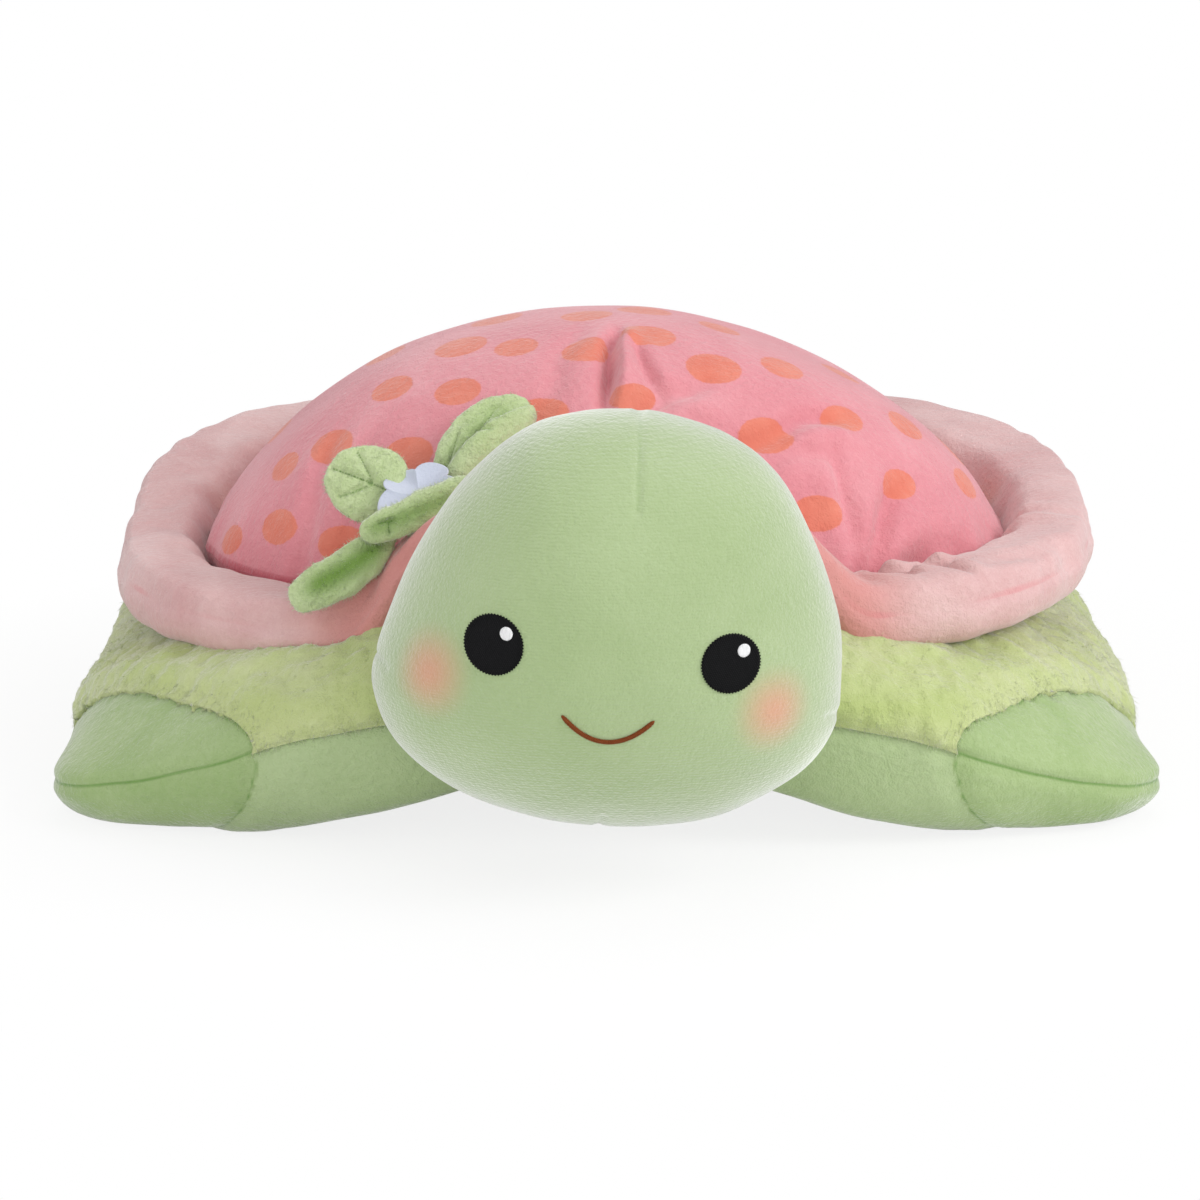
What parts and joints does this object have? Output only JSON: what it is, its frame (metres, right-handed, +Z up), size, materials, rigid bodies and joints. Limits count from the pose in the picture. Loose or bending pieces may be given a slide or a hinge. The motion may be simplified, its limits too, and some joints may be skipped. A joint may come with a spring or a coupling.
{
  "type": "folding turtle pillow",
  "caption": "Plush turtle pillow with a domed dotted shell on a padded brim, a nodding head, bending leaves and two body halves that fold down under a strap.",
  "frame": {"origin": "centre of the bounding box at the surface that the pillow stands on", "axes": "+Z up, -Y towards the face, +X towards the turtle's left side"},
  "size_m": [0.396, 0.4574, 0.167],
  "materials": {
    "body_fur": "long soft pile",
    "belly_plush": "short pile",
    "foot_plush": "short pile",
    "shell_plush": "short pile with printed coral dots",
    "brim_plush": "short pile",
    "head_plush": "short pile",
    "leaf_plush": "short pile",
    "petal_felt": "felt",
    "centre_felt": "felt",
    "black_thread": "satin stitch",
    "white_thread": "satin stitch",
    "brown_thread": "satin stitch",
    "webbing": "flat woven",
    "hook_and_loop": "hook and loop tape",
    "stuffing": "loose fibre"
  },
  "bodies": {
    "root": {"spine_top_cover": "body_fur", "spine_bottom_cover": "belly_plush", "spine_fill": "stuffing", "shell_cover": "shell_plush", "shell_fill": "stuffing", "brim_top_cover": "brim_plush", "brim_under_cover": "brim_plush", "brim_fill": "stuffing", "sprig_base": "leaf_plush", "flower_petals": "petal_felt", "flower_centre": "centre_felt"},
    "left_half": {"left_top_cover": "body_fur", "left_bottom_cover": "belly_plush", "left_fill": "stuffing", "left_front_foot_upper": "foot_plush", "left_front_foot_lower": "foot_plush", "left_rear_foot_upper": "foot_plush", "left_rear_foot_lower": "foot_plush", "strap_loop_patch": "hook_and_loop"},
    "right_half": {"right_top_cover": "body_fur", "right_bottom_cover": "belly_plush", "right_fill": "stuffing", "right_front_foot_upper": "foot_plush", "right_front_foot_lower": "foot_plush", "right_rear_foot_upper": "foot_plush", "right_rear_foot_lower": "foot_plush", "strap_root": "webbing"},
    "strap": {"strap_webbing": "webbing", "strap_hook_patch": "hook_and_loop"},
    "neck": {"neck_cover": "head_plush", "neck_fill": "stuffing"},
    "head": {"head_front_cover": "head_plush", "head_back_cover": "head_plush", "head_fill": "stuffing", "left_eye": "black_thread", "right_eye": "black_thread", "left_glint": "white_thread", "right_glint": "white_thread", "smile": "brown_thread"},
    "tail": {"tail_cover": "foot_plush", "tail_fill": "stuffing"},
    "leaf_rear": {"leaf_rear": "leaf_plush"},
    "leaf_side": {"leaf_side": "leaf_plush"},
    "leaf_front": {"leaf_front": "leaf_plush"},
    "leaf_long": {"leaf_long": "leaf_plush"}
  },
  "joints": [
    {"name": "fold_left", "type": "hinge", "parent": "root", "child": "left_half", "pos_m": [0.035, 0.03043, 0.108], "axis": [0, -1, 0], "range_deg": [0, 12], "deforming": ["shell_cover", "shell_fill", "brim_top_cover", "brim_under_cover", "brim_fill"]},
    {"name": "fold_right", "type": "hinge", "parent": "root", "child": "right_half", "pos_m": [-0.035, 0.03043, 0.108], "axis": [0, 1, 0], "range_deg": [0, 12], "deforming": ["shell_cover", "shell_fill", "brim_top_cover", "brim_under_cover", "brim_fill", "leaf_long"]},
    {"name": "strap_swing", "type": "hinge", "parent": "right_half", "child": "strap", "pos_m": [-0.05615, 0.03043, 0.0217], "axis": [0, 1, 0], "range_deg": [0, 120]},
    {"name": "neck_turn", "type": "hinge", "parent": "root", "child": "neck", "pos_m": [0, -0.11857, 0.08], "axis": [0, 0, 1], "range_deg": [-10, 10], "stiffness_Nm_per_rad": 0.3},
    {"name": "head_nod", "type": "hinge", "parent": "neck", "child": "head", "pos_m": [0, -0.11857, 0.08], "axis": [1, 0, 0], "range_deg": [-8, 9], "stiffness_Nm_per_rad": 0.6, "springref_deg": -3.24},
    {"name": "tail_lift", "type": "hinge", "parent": "root", "child": "tail", "pos_m": [0, 0.20172, 0.057], "axis": [1, 0, 0], "range_deg": [-15, 15], "stiffness_Nm_per_rad": 0.01, "springref_deg": 0.23},
    {"name": "leaf_rear_bend", "type": "hinge", "parent": "root", "child": "leaf_rear", "pos_m": [-0.05412, -0.08468, 0.11506], "axis": [0.6691, -0.7431, 0], "range_deg": [-6, 18], "stiffness_Nm_per_rad": 0.003, "springref_deg": 0.36},
    {"name": "leaf_side_bend", "type": "hinge", "parent": "root", "child": "leaf_side", "pos_m": [-0.07665, -0.08947, 0.11604], "axis": [0.309, 0.9511, 0], "range_deg": [-6, 8], "stiffness_Nm_per_rad": 0.003, "springref_deg": 0.52},
    {"name": "leaf_front_bend", "type": "hinge", "parent": "root", "child": "leaf_front", "pos_m": [-0.07065, -0.10509, 0.11709], "axis": [-0.866, 0.5, 0], "range_deg": [-4, 15], "stiffness_Nm_per_rad": 0.003, "springref_deg": 0.21},
    {"name": "leaf_long_bend", "type": "hinge", "parent": "root", "child": "leaf_long", "pos_m": [-0.07665, -0.09768, 0.11205], "axis": [-0.309, 0.9511, 0], "range_deg": [-4, 12], "stiffness_Nm_per_rad": 0.003, "springref_deg": 0.52}
  ]
}
